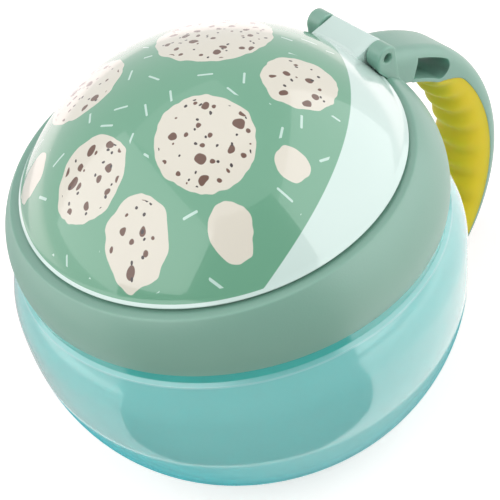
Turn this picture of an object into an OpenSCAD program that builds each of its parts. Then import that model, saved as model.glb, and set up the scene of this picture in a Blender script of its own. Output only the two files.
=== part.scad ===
// Snack container for a toddler: a round clear bowl, a screw collar with a hook handle,
// a domed flip lid on a pin, and a star-cut soft insert that a small hand pushes through.
// Millimetres. The origin is the centre of the bowl's base, +Z is up, the handle points to +Y.

/* [Bowl] */
// Largest diameter of the bowl
bowl_d = 96; // [90:0.5:102]
// Height of the bowl's widest line above its base
widest_z = 39.4; // [37:0.2:41]
// Height of the full belly curve, of which the flat base cuts off the tip
belly_depth = 44.3; // [43:0.1:46]
// Fullness of the belly curve: 2 is an ellipse, more is squarer
belly_power = 2.38; // [2:0.02:2.8]
// Wall of the bowl
bowl_wall = 2.4; // [1.8:0.1:2.6]
// Radius of the neck that carries the collar
neck_r = 41; // [40.6:0.1:41.2]

/* [Collar] */
// Radius of the collar where it bulges most
collar_r = 45.6; // [45.4:0.1:46.4]
// Radius of the arc of the collar's outer face
collar_arc = 15; // [14.6:0.1:17]
// Height of the collar's lower edge
collar_z = 50.6; // [50.4:0.1:51]
// Radius of the mouth
mouth_r = 33.5; // [31:0.5:34]
// Wall of the hinge ears beside the lid's barrel
ear_w = 3.85; // [3.5:0.05:5]

/* [Lid] */
// Radius of the lid's rim
lid_r = 39.6; // [39.2:0.1:39.8]
// Height of the dome above the rim
dome_h = 22.8; // [20:0.2:24]
// Wall of the dome
lid_wall = 1.8; // [1.4:0.1:2.2]
// Slope of the rim plane, rising towards the hinge
lid_tilt = 2.7; // [2.4:0.1:3]
// Length of the lid's hinge barrel
barrel_w = 13.6; // [12:0.2:14]
// Diameter of the hinge pin
pin_d = 1.9; // [1.6:0.1:2]

/* [Handle] */
// Width of the handle
handle_w = 13.6; // [11:0.2:13.8]
// Thickness of the handle with its grip
handle_t = 7.2; // [6.6:0.1:7.6]
// Thickness of the bare back of the handle behind the grip
spine_t = 2.6; // [2:0.1:3.2]
// Radius of the long, flat arc off the collar
crest_arc = 51; // [48:0.2:55]
// Radius of the tight bend over the fingers
bend_arc = 22.7; // [20:0.1:25]
// Radius of the long arc down the back
back_arc = 40; // [39:0.2:42]
// Distance between two ribs of the grip
rib_pitch = 7.5; // [6:0.1:9]
// Height of the ribs
rib_h = 0.5; // [0.2:0.05:0.8]

/* [Insert] */
// Thickness of the soft flaps
flap_t = 1.2; // [0.9:0.1:1.4]
// Width of the cuts between the flaps
slit = 0.5; // [0.4:0.05:0.8]

/* [Hidden] */
$fn = 96;
sage = "#86a899";
mint = "#dcf1ec";
aqua = "#86cfcb";
yellow = "#cbbc3c";
clear_gap = 0.3;
out = 100;

// bowl: the belly ends in a bead, a drawn-in band and the neck
bowl_r = bowl_d / 2;
crown_depth = 25.7;
base_round = 0.6;
bead_z = collar_z - 3.2;
bead_r = 0.7;
band_r = collar_r - 1.1;
ledge_z = collar_z - clear_gap;
neck_inner = neck_r - bowl_wall;
neck_top = 57.9;
floor_t = 2.8;
neck_bead = 0.5;

// insert: flange on the neck, skirt inside it, six flaps with straight roots
ring_z = neck_top + 0.2;
ring_t = 1.6;
ring_r = neck_r + 0.8;
skirt_r = neck_inner - 0.4;
skirt_t = 1.3;
skirt_h = 4.6;
flaps = 6;
flap_z = ring_z + ring_t / 2;
flap_root = 28.3;
root_gap = 0.25;
relief_r = 0.9;
centre_r = 1.6;

// collar: bore over the neck and insert, then the web with the mouth in it
bulge_z = 55;
skirt_bore = neck_r + 1.4;
web_z = ring_z + ring_t + 0.2;
collar_top = 71;

// lid: its frame sits on the tilted rim plane
rim_centre = [0, -1.47, 65.6];
land_z = -0.35;
rim_z = 0.25;
dome_r = (lid_r * lid_r + dome_h * dome_h) / (2 * dome_h);
dome_c = dome_h - dome_r;
edge_z = 0.7;
lid_rear = rim_centre[1] + lid_r;
spigot_r = 38.3;
spigot_t = 1.3;
spigot_h = 1.8;
seat_r = 38.9;
seat_z = -2.2;

// hinge
axis_y = 38.1;
axis_z = 71.8;
knuckle_r = 2.6;
strap_back = [axis_y + 1.5, axis_z + 2.2];
strap_front_y = 31.5;
strap_slope = 8.3;
gusset_top = 66.5;
ear_gap = 0.3;
ear_x = barrel_w / 2 + ear_gap;
ear_back = axis_y + knuckle_r;
pin_recess = 1.8;
pin_len = 2 * (ear_x + ear_w - pin_recess);
bore_play = 0.05;
fixed_play = 0.02;

// handle: three arcs, each tangent to the one before, drawn in the plane of Y and Z
handle_start = [39.3, 68.3];
crest_a0 = 77.1;
crest_a1 = 53.7;
bend_a1 = 42.2;
back_a1 = -41.9;
root_a = 80.4;
root_t = 6.9;
edge_round = 3.4;
crest_c = handle_start - crest_arc * dir(crest_a0);
bend_c = crest_c + (crest_arc - bend_arc) * dir(crest_a1);
back_c = bend_c + (bend_arc - back_arc) * dir(bend_a1);
tip_r = handle_t / 2;
tip_c = back_c + (back_arc - tip_r) * dir(back_a1);
grip_a = 59.6;
grip_start = arc_len(crest_arc, crest_a0 - grip_a);
crest_len = arc_len(crest_arc, crest_a0 - crest_a1);
bend_len = arc_len(bend_arc, crest_a1 - bend_a1);
back_len = arc_len(back_arc, bend_a1 - back_a1);
handle_len = crest_len + bend_len + back_len;
blend_len = 22;
grip_fit = 0.03;
grip_power = 2.6;
grip_sides = 16;
rib_steps = 6;
grip_inset = 0.15;
slot_a0 = 64;
slot_a1 = 54.4;
slot_top = 1.3;
slot_h = 4.3;

function dir(a) = [cos(a), sin(a)];
function arc_len(r, a) = r * a * PI / 180;
function arc(c, r, a0, a1, n = 12) = [for (i = [0 : n]) c + r * dir(a0 + (a1 - a0) * i / n)];
function ease(t) = t * t * (3 - 2 * t);
function clamp(t) = max(0, min(1, t));

// --- bowl ---------------------------------------------------------------

// Radius of the bowl's outside at height z, or of its inside with the wall given
function belly_r(z, wall = 0) = z < widest_z
    ? (bowl_r - wall) * pow(1 - pow((widest_z - z) / (belly_depth - wall), belly_power), 1 / belly_power)
    : (bowl_r - wall) * sqrt(1 - pow((z - widest_z) / (crown_depth - wall), 2));
function belly(z0, z1, wall = 0, n = 20) =
    [for (i = [0 : n]) let (z = z0 + (z1 - z0) * i / n) [belly_r(z, wall), z]];

module bowl_outside() {
    polygon(concat([[0, 0], [belly_r(0) - 2 * base_round, 0]], belly(base_round, bead_z + 0.4),
        [[band_r, bead_z + 0.9], [band_r, ledge_z], [neck_r, ledge_z], [neck_r, neck_top], [0, neck_top]]));
}

// The inside follows the belly, then draws in under the ledge to the neck
module bowl_inside() {
    under_z = bead_z - 2.4;
    polygon(concat([[0, floor_t]], belly(floor_t, under_z, bowl_wall, 16),
        [[neck_inner, under_z + 3], [neck_inner, neck_top + 1], [0, neck_top + 1]]));
}

module bowl() {
    color(aqua, 0.6) rotate_extrude() {
        difference() {
            bowl_outside();
            bowl_inside();
        }
        translate([belly_r(bead_z) - neck_bead / 2, bead_z]) circle(bead_r, $fn = 24);
    }
}

// --- collar -------------------------------------------------------------

module in_lid_frame() translate(rim_centre) rotate([lid_tilt, 0, 0]) children();

// The band is a bulging revolve whose top is cut along the tilted rim plane
module collar_band() {
    arc_c = [collar_r - collar_arc, bulge_z];
    a0 = asin((collar_z - bulge_z) / collar_arc);
    a1 = asin((collar_top - 3 - bulge_z) / collar_arc);
    difference() {
        rotate_extrude() polygon(concat([[0, collar_z]], arc(arc_c, collar_arc, a0, a1, 20),
            [[30, collar_top], [0, collar_top]]));
        in_lid_frame() translate([-out, -out, land_z]) cube([2 * out, 2 * out, out]);
    }
}

// A round-topped ear each side of the barrel, running down into the band and tied to the handle
module ears() {
    foot_z = axis_z - 11;
    for (side = [-1, 1]) {
        translate([side * (ear_x + ear_w / 2), axis_y, axis_z]) {
            rotate([0, 90, 0]) cylinder(r = knuckle_r, h = ear_w, center = true);
            translate([-ear_w / 2, -knuckle_r, -11]) cube([ear_w, 2 * knuckle_r, 11]);
        }
        translate([side * ear_x - 1, lid_rear + 0.5, foot_z])
            cube([2, ear_back - lid_rear - 0.5, gusset_top - foot_z]);
    }
}

// Section of the bare handle as seen along it: x is the distance from the arc's centre
module handle_section(r) {
    w = handle_w / 2;
    inner = r - handle_t - 1;
    polygon(concat([[inner, -w]], arc([r - edge_round, -w + edge_round], edge_round, -90, 0, 6),
        arc([r - edge_round, w - edge_round], edge_round, 0, 90, 6), [[inner, w]]));
}

// One arc of the handle, turned from its own plane into the plane of Y and Z
module swing(c, a0, a1) {
    translate([0, c[0], c[1]]) rotate([90, 0, 90]) rotate([0, 0, a0]) rotate_extrude(angle = a1 - a0) children();
}

// Distance from the handle's outer face to the back of the grip, at length s along the handle
function grip_back(s) = spine_t + (root_t - spine_t) * ease(clamp(1 - (s - grip_start) / blend_len));

// The arc that holds length s, as its centre, its radius and the angle there
function handle_at(s) =
    s < crest_len ? [crest_c, crest_arc, crest_a0 - s / crest_len * (crest_a0 - crest_a1)]
    : s < crest_len + bend_len ? [bend_c, bend_arc, crest_a1 - (s - crest_len) / bend_len * (crest_a1 - bend_a1)]
    : [back_c, back_arc, bend_a1 - (s - crest_len - bend_len) / back_len * (bend_a1 - back_a1)];
function handle_point(s, depth) = let (h = handle_at(s)) h[0] + (h[1] - depth) * dir(h[2]);

// Side view of the spine: its outer arcs, its rounded tip, and back along the grip
module spine_side() {
    steps = 40;
    tip_a = acos((tip_r - spine_t) / tip_r);
    polygon(concat(
        arc(crest_c, crest_arc + 1, root_a, crest_a1), arc(bend_c, bend_arc + 1, crest_a1, bend_a1),
        arc(back_c, back_arc + 1, bend_a1, back_a1), arc(tip_c, tip_r, back_a1, back_a1 - tip_a, 8),
        [for (i = [steps : -1 : 0]) let (s = grip_start + (handle_len - grip_start) * i / steps)
            handle_point(s, grip_back(s))],
        arc(crest_c, crest_arc - root_t, grip_a, root_a)));
}

module handle_spine() {
    intersection() {
        rotate([90, 0, 90]) linear_extrude(handle_w + 2, center = true) spine_side();
        union() {
            swing(crest_c, crest_a1 - 0.1, root_a) handle_section(crest_arc);
            swing(bend_c, bend_a1 - 0.1, crest_a1) handle_section(bend_arc);
            swing(back_c, back_a1 - 6, bend_a1) handle_section(back_arc);
        }
    }
}

// Slot through the thick root, straight at the collar and round at the outer end
module handle_slot() {
    mid = crest_arc - slot_top - slot_h / 2;
    swing(crest_c, slot_a1, slot_a0) translate([mid, 0]) square([slot_h, 2 * handle_w], center = true);
    end = crest_c + mid * dir(slot_a1);
    translate([0, end[0], end[1]]) rotate([0, 90, 0]) cylinder(d = slot_h, h = 2 * handle_w, center = true);
}

// All the room that the closed lid takes, with a gap round it
module lid_space() {
    in_lid_frame() {
        translate([0, 0, land_z]) cylinder(r = lid_r + 0.35, h = edge_z - land_z + 0.35);
        intersection() {
            translate([0, 0, dome_c]) sphere(dome_r + 0.35);
            cylinder(r = out, h = out);
        }
    }
    translate([-barrel_w / 2 - 0.2, axis_y - knuckle_r, rim_centre[2]])
        cube([barrel_w + 0.4, lid_rear - axis_y + knuckle_r + 0.4, out]);
}

module collar() {
    color(sage) difference() {
        union() {
            collar_band();
            difference() {
                union() {
                    ears();
                    handle_spine();
                }
                lid_space();
            }
        }
        translate([0, 0, -1]) cylinder(r = skirt_bore, h = web_z + 1);
        cylinder(r = mouth_r, h = out);
        in_lid_frame() translate([0, 0, seat_z]) cylinder(r = seat_r, h = land_z - seat_z + 1);
        handle_slot();
        hinge_line() cylinder(d = pin_d + 2 * fixed_play, h = out, center = true);
    }
}

// --- grip ---------------------------------------------------------------

// Ribs swell the grip inwards
function hump(s) = 0.5 - 0.5 * cos(360 * (s - grip_start) / rib_pitch);

// One ring of the grip as [x, y, z] points: flat on the spine, a squared half oval inside
function grip_ring(p, u, back, inner, w) = [for (i = [0 : grip_sides]) let (a = 180 * i / grip_sides,
    x = w * sign(cos(a)) * pow(abs(cos(a)), 2 / grip_power),
    d = back + (inner - back) * pow(sin(a), 2 / grip_power), q = p - d * u) [x, q[0], q[1]]];

module handle_grip() {
    count = round((handle_len - grip_start) / rib_pitch * rib_steps);
    half = handle_w / 2 - grip_inset;
    along = [for (i = [0 : count]) let (s = grip_start + (handle_len - grip_start) * i / count, h = handle_at(s))
        grip_ring(h[0] + h[1] * dir(h[2]), dir(h[2]), grip_back(s) + grip_fit,
            handle_t + rib_h * (hump(s) - 0.5), half)];
    // past the last arc the rings shrink along the tip's circle
    tip = [for (a = [15 : 15 : 60]) grip_ring(
        tip_c + tip_r * dir(back_a1) + tip_r * sin(a) * dir(back_a1 - 90), dir(back_a1),
        spine_t + grip_fit, tip_r + tip_r * cos(a), half)];
    rings = concat(along, tip);
    n = grip_sides + 1;
    last = len(rings) - 1;
    color(yellow) polyhedron([for (r = rings, p = r) p], concat(
        [for (k = [0 : last - 1], i = [0 : n - 1]) let (j = (i + 1) % n) [k * n + j, k * n + i, k * n + n + i]],
        [for (k = [0 : last - 1], i = [0 : n - 1]) let (j = (i + 1) % n) [k * n + n + j, k * n + j, k * n + n + i]],
        [for (i = [1 : n - 2]) [0, i, i + 1]],
        [for (i = [1 : n - 2]) [last * n, last * n + i + 1, last * n + i]]));
}

// --- lid ----------------------------------------------------------------

module hinge_line() translate([0, axis_y, axis_z]) rotate([0, 90, 0]) children();

module hinge_pin() {
    color("silver") hinge_line() cylinder(d = pin_d, h = pin_len, center = true);
}

// Half section of the dome: sphere outside and in, a rim that covers the collar, a spigot inside it
module lid_section() {
    rim_a = asin((edge_z - dome_c) / dome_r);
    in_r = dome_r - lid_wall;
    spigot_in = spigot_r - spigot_t;
    in_a = acos(spigot_in / in_r);
    polygon(concat(arc([0, dome_c], dome_r, 90, rim_a, 24),
        [[lid_r, rim_z], [spigot_r, rim_z], [spigot_r, -spigot_h], [spigot_in, -spigot_h]],
        arc([0, dome_c], in_r, in_a, 90, 24)));
}

// The tongue is a flat strap rising from the dome over the barrel, with a web under it down to the rim
module tongue() {
    foot = rim_centre[2] + rim_z + lid_r * sin(lid_tilt);
    front_z = strap_back[1] - (strap_back[0] - strap_front_y) * tan(strap_slope);
    difference() {
        rotate([90, 0, 90]) linear_extrude(barrel_w, center = true) difference() {
            union() {
                translate([axis_y, axis_z]) circle(knuckle_r);
                polygon([[strap_front_y, front_z], strap_back, [axis_y, axis_z - 2.4], [lid_rear, foot], [strap_front_y, foot]]);
            }
            translate(strap_back) rotate(strap_slope) translate([-3 * knuckle_r, 0]) square([5 * knuckle_r, knuckle_r]);
        }
        in_lid_frame() translate([0, 0, dome_c]) sphere(dome_r - lid_wall);
    }
}

module lid() {
    color(mint) difference() {
        union() {
            in_lid_frame() rotate_extrude() lid_section();
            tongue();
        }
        hinge_line() cylinder(d = pin_d + 2 * bore_play, h = out, center = true);
        // room for the ears as the dome swings past them
        for (turn = [0, 180]) hinge_line() rotate([turn, 0, 0])
            translate([0, 0, barrel_w / 2]) cylinder(r = knuckle_r + 0.35, h = ear_w + 1);
    }
}

// --- insert -------------------------------------------------------------

// Regular hexagon by the distance of its sides
module hexagon(apothem) rotate(30) circle(apothem / cos(30), $fn = flaps);

module flap_ring() {
    color("#e3d98a") difference() {
        union() {
            translate([0, 0, ring_z]) cylinder(r = ring_r, h = ring_t);
            translate([0, 0, ring_z - skirt_h]) cylinder(r = skirt_r, h = skirt_h + 0.1);
        }
        translate([0, 0, ring_z - out]) cylinder(r = skirt_r - skirt_t, h = out + (ring_t - flap_t) / 2);
        translate([0, 0, ring_z + (ring_t + flap_t) / 2]) cylinder(r = mouth_r, h = out);
        translate([0, 0, ring_z]) linear_extrude(out) hexagon(flap_root + flap_t / 2 + root_gap);
        for (i = [0 : flaps - 1]) rotate(i * 360 / flaps + 30) translate([flap_root / cos(30) + relief_r, 0, 0])
            cylinder(r = relief_r, h = out, $fn = 24);
    }
}

// One flap: a third of a right angle wide each side, rounded where it bends, its point cut for a finger
module flap(i) {
    a = 180 / flaps;
    start = slit / 2 / sin(a);
    half = (flap_root - start) * tan(a);
    color("#e8de90") rotate(i * 360 / flaps) translate([0, 0, flap_z]) difference() {
        union() {
            translate([0, 0, -flap_t / 2]) linear_extrude(flap_t)
                polygon([[start, 0], [flap_root, half], [flap_root, -half]]);
            translate([flap_root, 0, 0]) rotate([90, 0, 0]) cylinder(d = flap_t, h = 2 * half - 1, center = true, $fn = 32);
        }
        cylinder(r = centre_r, h = out, center = true, $fn = 32);
    }
}

module flap_1() flap(0);
module flap_2() flap(1);
module flap_3() flap(2);
module flap_4() flap(3);
module flap_5() flap(4);
module flap_6() flap(5);

bowl();
collar();
handle_grip();
hinge_pin();
lid();
flap_ring();
flap_1();
flap_2();
flap_3();
flap_4();
flap_5();
flap_6();
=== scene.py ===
import math

import bmesh
import bpy
import numpy as np
from mathutils import Matrix, Vector


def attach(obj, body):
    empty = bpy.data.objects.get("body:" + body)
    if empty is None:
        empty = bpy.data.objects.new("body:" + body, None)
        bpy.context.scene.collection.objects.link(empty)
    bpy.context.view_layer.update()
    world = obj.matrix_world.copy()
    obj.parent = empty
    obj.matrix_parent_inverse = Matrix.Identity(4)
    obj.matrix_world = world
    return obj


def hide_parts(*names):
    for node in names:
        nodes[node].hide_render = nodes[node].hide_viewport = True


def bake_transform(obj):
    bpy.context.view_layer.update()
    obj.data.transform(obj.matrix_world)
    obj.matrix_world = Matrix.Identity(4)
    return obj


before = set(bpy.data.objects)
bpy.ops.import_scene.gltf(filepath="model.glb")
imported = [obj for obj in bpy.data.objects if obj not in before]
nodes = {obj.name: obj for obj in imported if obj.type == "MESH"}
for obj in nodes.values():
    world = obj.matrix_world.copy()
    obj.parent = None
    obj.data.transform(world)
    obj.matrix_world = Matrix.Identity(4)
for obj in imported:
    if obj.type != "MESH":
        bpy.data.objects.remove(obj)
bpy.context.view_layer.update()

# Snack container for a toddler, dressed over its CAD frame.
# Metres; the origin is the centre of the bowl's base, +Y is the hinge and handle side.

mm = 0.001

# places that several pieces share, in millimetres, as in the part's source
rimPlane = {"centre": (0.0, -1.47, 65.6), "tiltDegrees": 2.7}
hingeAxis = {"y": 38.1, "z": 71.8}
domeShell = {"radius": 45.7905, "centreZ": -22.9905, "wall": 1.8}


def newObject(name, data):
    made = bpy.data.objects.new(name, data)
    bpy.context.scene.collection.objects.link(made)
    return made


def newPiece(name, points, closedRings=True, capped=False):
    # a grid of points, rows along the first axis; each row closes on itself, and capped ends
    # close on the mean of their row; doubles at poles are merged and the faces turned outwards
    rows, cols = points.shape[:2]
    i, j = np.meshgrid(np.arange(rows - 1), np.arange(cols if closedRings else cols - 1), indexing="ij")
    k = (j + 1) % cols
    quads = np.stack([i * cols + j, i * cols + k, (i + 1) * cols + k, (i + 1) * cols + j], -1).reshape(-1, 4)
    verts = points.reshape(-1, 3)
    faces = quads.tolist()
    for end in (0, 1) if capped else ():
        row = np.arange(cols) + (rows - 1) * cols * end
        faces += np.stack([row, np.roll(row, -1), np.full(cols, len(verts))], -1).tolist()
        verts = np.vstack([verts, verts[row].mean(0)])
    mesh = bpy.data.meshes.new(name)
    mesh.from_pydata((verts * mm).tolist(), [], faces)
    work = bmesh.new()
    work.from_mesh(mesh)
    bmesh.ops.remove_doubles(work, verts=work.verts, dist=1e-7)
    bmesh.ops.recalc_face_normals(work, faces=work.faces)
    work.to_mesh(mesh)
    work.free()
    mesh.polygons.foreach_set("use_smooth", np.ones(len(mesh.polygons), bool))
    mesh.set_sharp_from_angle(angle=math.radians(48))
    return newObject(name, mesh)


def joinPieces(name, pieces):
    # several closed shells of one moulding become one object
    work = bmesh.new()
    for piece in pieces:
        work.from_mesh(piece.data)
        bpy.data.objects.remove(piece)
    mesh = bpy.data.meshes.new(name)
    work.to_mesh(mesh)
    work.free()
    return newObject(name, mesh)


def roundCorners(points, radii, steps=5, closed=True):
    # each corner of a path becomes an arc of its radius: a rational quadratic curve from tangent
    # point to tangent point, with the sine of half the corner's angle as its middle weight
    count = points.shape[-2]
    t = np.linspace(0, 1, steps + 1)[:, None]
    out = []
    for k in range(count):
        here = points[..., k, :]
        if radii[k] == 0 or (not closed and k in (0, count - 1)):
            out.append(here[..., None, :])
            continue
        a = points[..., k - 1, :] - here
        b = points[..., (k + 1) % count, :] - here
        la = np.linalg.norm(a, axis=-1, keepdims=True)
        lb = np.linalg.norm(b, axis=-1, keepdims=True)
        a, b = a / la, b / lb
        half = np.arccos(np.clip((a * b).sum(-1, keepdims=True), -0.9999, 0.9999)) / 2
        reach = np.minimum(radii[k] / np.tan(half), 0.49 * np.minimum(la, lb))
        p, q = (here + a * reach)[..., None, :], (here + b * reach)[..., None, :]
        w = np.sin(half)[..., None, :]
        mid = here[..., None, :]
        out.append(((1 - t) ** 2 * p + 2 * t * (1 - t) * w * mid + t ** 2 * q)
                   / ((1 - t) ** 2 + 2 * t * (1 - t) * w + t ** 2))
    return np.concatenate(out, -2)


def arcPoints(centre, radius, startDegrees, endDegrees, steps):
    a = np.radians(np.linspace(startDegrees, endDegrees, steps + 1))
    return np.stack([centre[0] + radius * np.cos(a), centre[1] + radius * np.sin(a)], -1)


def around(r, a, z):
    # (r cos a, r sin a, z)
    return np.stack(np.broadcast_arrays(r * np.cos(a), r * np.sin(a), z), -1)


def revolve(profile, segments):
    # each point (r, z) of the profile at each angle
    return around(profile[:, :1], np.linspace(0, 2 * math.pi, segments, endpoint=False), profile[:, 1:])


def fromRimPlane(points):
    # from the lid's own tilted frame to the frame of the part
    t = math.radians(rimPlane["tiltDegrees"])
    turn = np.array([[1, 0, 0], [0, math.cos(t), -math.sin(t)], [0, math.sin(t), math.cos(t)]])
    return points @ turn.T + np.array(rimPlane["centre"])


def smoothStep(x):
    x = np.clip(x, 0, 1)
    return x * x * (3 - 2 * x)


def unit(v):
    return v / np.linalg.norm(v, axis=-1, keepdims=True)


def plate(name, outline, x0, x1, edge, inner=3):
    # a side outline in Y and Z stacked across X; towards both faces it shrinks along a quarter circle of the
    # edge's radius
    after, before = np.roll(outline, -1, 0), np.roll(outline, 1, 0)
    along = unit(after - outline) + unit(outline - before)
    normal = unit(np.stack([along[:, 1], -along[:, 0]], -1))
    normal *= np.sign(np.sum(outline[:, 0] * after[:, 1] - after[:, 0] * outline[:, 1]))
    turn = np.radians(np.linspace(0, 90, 5))
    across, inset = edge * (1 - np.sin(turn)), edge * (1 - np.cos(turn))
    x = np.concatenate([x0 + across[::-1], np.linspace(x0 + edge, x1 - edge, inner + 2)[1:-1], x1 - across])
    inset = np.concatenate([inset[::-1], np.zeros(inner), inset])
    yz = outline[None] - normal[None] * inset[:, None, None]
    rings = np.concatenate([np.broadcast_to(x[:, None, None], yz.shape[:2] + (1,)), yz], -1)
    return newPiece(name, rings, capped=True)


def screwRidge(angle, z, ridge):
    # height of a thread at an angle and a height z: a rounded trapezoid across the helix
    # z = start + lead * angle / turn, which dies out at the ridge's lowest and highest z
    pitch = ridge["lead"] / ridge["starts"]
    off = np.mod(z - ridge["first"] - ridge["lead"] * angle / (2 * math.pi) + pitch / 2, pitch) - pitch / 2
    across = smoothStep((ridge["halfWidth"] - np.abs(off)) / ridge["flank"] + 0.5)
    ends = smoothStep((z - ridge["low"]) / 0.8) * smoothStep((ridge["high"] - z) / 0.8)
    return ridge["height"] * across * ends


def hexColour(code):
    # sRGB hex to linear, as every colour socket wants it
    v = np.array([int(code[i:i + 2], 16) for i in (1, 3, 5)]) / 255
    v = np.where(v <= 0.04045, v / 12.92, ((v + 0.055) / 1.055) ** 2.4)
    return (*v.tolist(), 1.0)


def addNode(tree, kind, inputs=None, **settings):
    # kind goes without its prefix; an input is a value, or what to link: an output, or a node for its first one
    node = tree.nodes.new("ShaderNode" + kind)
    for key, value in settings.items():
        setattr(node, key, value)
    for key, value in (inputs or {}).items():
        value = value.outputs[0] if isinstance(value, bpy.types.Node) else value
        if isinstance(value, bpy.types.NodeSocket):
            tree.links.new(value, node.inputs[key])
        else:
            node.inputs[key].default_value = value
    return node


def newMaterial(name, **shaderInputs):
    material = bpy.data.materials.new(name)
    material.use_nodes = True
    tree = material.node_tree
    shader = tree.nodes["Principled BSDF"]
    for key, value in shaderInputs.items():
        shader.inputs[key.replace("_", " ")].default_value = value
    coords = addNode(tree, "TexCoord").outputs["Object"]
    return material, tree, shader, coords


def mottle(tree, shader, coords, perMetre, detail, tones):
    # the base colour wanders between two tones with noise; it is handed back for a mix on top
    noise = addNode(tree, "TexNoise", {"Vector": coords, "Scale": perMetre, "Detail": detail})
    tones = {"Factor": noise, 6: hexColour(tones[0]), 7: hexColour(tones[1])}
    tone = addNode(tree, "Mix", tones, data_type="RGBA").outputs[2]
    tree.links.new(tone, shader.inputs["Base Color"])
    return tone


def emboss(tree, shader, coords, perMetre, detail, strength, depth):
    # noise as fine bumps in the skin, of a depth in metres
    noise = addNode(tree, "TexNoise", {"Vector": coords, "Scale": perMetre, "Detail": detail})
    bump = addNode(tree, "Bump", {"Strength": strength, "Distance": depth, "Height": noise})
    tree.links.new(bump.outputs[0], shader.inputs["Normal"])


def setMaterial(piece, material):
    piece.data.materials.clear()
    piece.data.materials.append(material)


studio = {
    "cameraAt": (217.488, -133.452, 278.113),  # mm
    "lookAt": (6.106, -1.027, 44.141),
    "rollDegrees": -12.739,
    "lens": 119.539, "sensor": 36,
    "floorSize": 3000,  # mm
    "floorTones": ("#ebe6e6", "#efeaea"),
    "floorGlow": (1.0, 0.89, 0.89, 1.0),  # a hair warm, against the aqua that the bowl throws into its shadow
    "glowFrom": (0.14, 0.5), "glowTo": (0.5, 1.0),  # metres from the origin, and the glow's strength there
    "worldStrength": 0.43,
    "softboxAim": (0, 0, 0.045),
    "softboxes": (  # azimuth and elevation in degrees; distance, width and height in mm; radiance
        ("leftSoftbox", -103, 36, 720, 1260, 760, 1.18),
        ("rightSoftbox", 47, 30, 700, 1240, 700, 1.27),
        ("topSoftbox", 170, 75, 900, 700, 700, 0.5)),
}
cards = {
    "from": 54, "to": 470,  # the black one, in mm from the bowl's middle
    "lift": 0.1, "corner": 6,
    "left": (20, -7), "right": (-24, 2), "leftDegrees": -88.3, "rightDegrees": 4,  # flare at the corner, then drift
    "climb": 58, "notch": ((0, 20, 23.5, 33, 43, 56), (-95, -95, -61, -56, -50, -41)),  # its left edge as it climbs
    "climbRight": 7.0,
    "aquaFrom": 34, "aquaGap": 1.3, "aquaRight": 80,
    "greyTo": 260, "greyRight": -88.5, "back": -175,
    "black": ("#1a1a1a", "#1a1a1a"), "grey": ("#dedede", "#dedede"),
    "aqua": ("#64c8d4", "#c4dadc"), "paleFrom": 0.025, "paleTo": 0.05,  # metres to the right
}


def whiteRays(tree):
    # 1 for the rays that show the background: the camera's, those in reflections and those through clear plastic
    path = addNode(tree, "LightPath").outputs
    either = addNode(tree, "Math", {0: path["Is Camera Ray"], 1: path["Is Transmission Ray"]}, operation="MAXIMUM")
    return addNode(tree, "Math", {0: either, 1: path["Is Glossy Ray"]}, operation="MAXIMUM")


def buildCamera():
    at, to = Vector(studio["cameraAt"]) * mm, Vector(studio["lookAt"]) * mm
    data = bpy.data.cameras.new("photoCamera")
    data.lens = studio["lens"]
    data.sensor_width = studio["sensor"]
    data.clip_start = 0.01
    camera = newObject("photoCamera", data)
    facing = (to - at).to_track_quat("-Z", "Y").to_matrix().to_4x4()
    roll = Matrix.Rotation(math.radians(studio["rollDegrees"]), 4, "Z")
    camera.matrix_world = Matrix.Translation(at) @ facing @ roll
    bpy.context.scene.camera = camera


def buildFloor():
    half = studio["floorSize"] / 2
    corners = np.array([[[-half, -half, 0.0], [half, -half, 0.0]], [[-half, half, 0.0], [half, half, 0.0]]])
    floor = newPiece("floor", corners, closedRings=False)
    material, tree, shader, coords = newMaterial(
        "Studio paper, matt white", Roughness=0.9, Emission_Color=studio["floorGlow"])
    mottle(tree, shader, coords, 900.0, 2.0, studio["floorTones"])  # 1.1 mm, the paper's grain
    # as background the paper burns out to white but keeps its shadow; further off it is all white
    away = addNode(tree, "VectorMath", {0: coords}, operation="LENGTH").outputs["Value"]
    near, far = studio["glowFrom"], studio["glowTo"]
    level = addNode(tree, "MapRange", {
        "Value": away, "From Min": near[0], "From Max": far[0], "To Min": near[1], "To Max": far[1]})
    glow = addNode(tree, "Math", {0: whiteRays(tree), 1: level}, operation="MULTIPLY")
    tree.links.new(glow.outputs[0], shader.inputs["Emission Strength"])
    setMaterial(floor, material)


def buildWorld():
    world = bpy.data.worlds.new("studioWorld")
    bpy.context.scene.world = world
    world.use_nodes = True
    tree = world.node_tree
    tree.nodes.clear()
    level = addNode(tree, "MapRange", {
        "Value": whiteRays(tree), "To Min": studio["worldStrength"], "To Max": 1.0})
    glow = addNode(tree, "Background", {"Color": (1, 1, 1, 1), "Strength": level})
    addNode(tree, "OutputWorld", {"Surface": glow})


def addSoftbox(name, azimuth, elevation, distance, width, height, radiance):
    # azimuth is counted from +X towards +Y, as seen from above; radiance is what a mirror would show
    a, e = math.radians(azimuth), math.radians(elevation)
    aim = Vector(studio["softboxAim"])
    place = aim + Vector((math.cos(a) * math.cos(e), math.sin(a) * math.cos(e), math.sin(e))) * distance * mm
    data = bpy.data.lights.new(name, "AREA")
    data.shape = "RECTANGLE"
    data.size, data.size_y = width * mm, height * mm
    data.energy = radiance * math.pi * data.size * data.size_y
    box = newObject(name, data)
    box.matrix_world = Matrix.Translation(place) @ (aim - place).to_track_quat("-Z", "Y").to_matrix().to_4x4()
    box.visible_camera = False


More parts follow.
